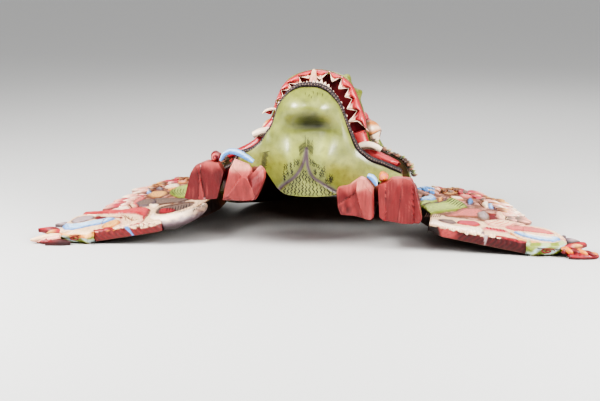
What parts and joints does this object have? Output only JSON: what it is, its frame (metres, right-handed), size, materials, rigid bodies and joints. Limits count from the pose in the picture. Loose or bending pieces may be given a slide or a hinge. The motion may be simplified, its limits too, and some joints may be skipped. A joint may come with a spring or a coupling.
{
  "type": "barong mask",
  "caption": "Carved and painted wooden beast mask with a saw-toothed mouth, red cheek lobes and two flat winged ear panels, hollow behind for a wearer's face.",
  "frame": {"origin": "centre of the bounding box at the plane the mask rests on", "axes": "+X to the viewer's right across the wings, +Y from the chin to the crown, +Z out of the face; the mask lies face up"},
  "size_m": [0.568, 0.302, 0.1745],
  "materials": {
    "skin_green": "semi-gloss olive green paint on carved wood",
    "leaf_green": "semi-gloss leaf green paint on carved wood",
    "lip_red": "semi-gloss pinkish red paint on carved wood",
    "mouth_red": "satin dark red paint on carved wood",
    "lobe_red": "satin red paint over chiselled wood",
    "rim_grey": "matt grey-brown paint with fine dark hatching",
    "tooth_white": "semi-gloss cream white paint on carved wood",
    "cream": "satin cream paint on carved wood",
    "shell_pink": "satin pale pink paint on carved wood",
    "scroll_brown": "satin orange-brown paint on carved wood",
    "ribbon_blue": "satin light blue paint on carved wood",
    "curl_orange": "satin orange paint on carved wood",
    "eye_white": "gloss cream paint on carved wood",
    "wall_red": "satin dark red paint over chiselled wood",
    "tip_red": "satin brownish red paint on carved wood"
  },
  "bodies": {
    "root": {"face_shell": "skin_green", "palate": "mouth_red", "lower_jaw": "skin_green", "upper_lip": "lip_red", "lip_tail_left": "lip_red", "lip_tail_right": "lip_red", "lower_lip": "rim_grey", "lower_teeth": "tooth_white", "front_tooth": "tooth_white", "tusk_left": "tooth_white", "tusk_right": "tooth_white", "nose": "skin_green", "eye_left": "eye_white", "eye_right": "eye_white", "brow_left": "scroll_brown", "brow_right": "scroll_brown", "cheek_tuft_left": "leaf_green", "cheek_tuft_right": "leaf_green", "lobe_outer_left": "lobe_red", "lobe_inner_left": "lobe_red", "lobe_inner_right": "lobe_red", "lobe_outer_right": "lobe_red", "ribbon_left": "ribbon_blue", "ribbon_right": "ribbon_blue", "ear_curl_left": "curl_orange", "ear_curl_right": "curl_orange", "wing_board_left": "wall_red", "wing_border_left": "scroll_brown", "wing_leaf_left": "leaf_green", "wing_plume_left": "cream", "wing_band_left": "lip_red", "wing_horn_left": "cream", "wing_fringe_left": "cream", "wing_bulb_left": "cream", "wing_tip_left": "tip_red", "wing_eye_left": "curl_orange", "wing_board_right": "wall_red", "wing_border_right": "scroll_brown", "wing_leaf_right": "leaf_green", "wing_plume_right": "shell_pink", "wing_fringe_right": "cream", "wing_bulb_right": "cream", "wing_tip_right": "tip_red", "wing_eye_right": "eye_white"}
  },
  "joints": []
}
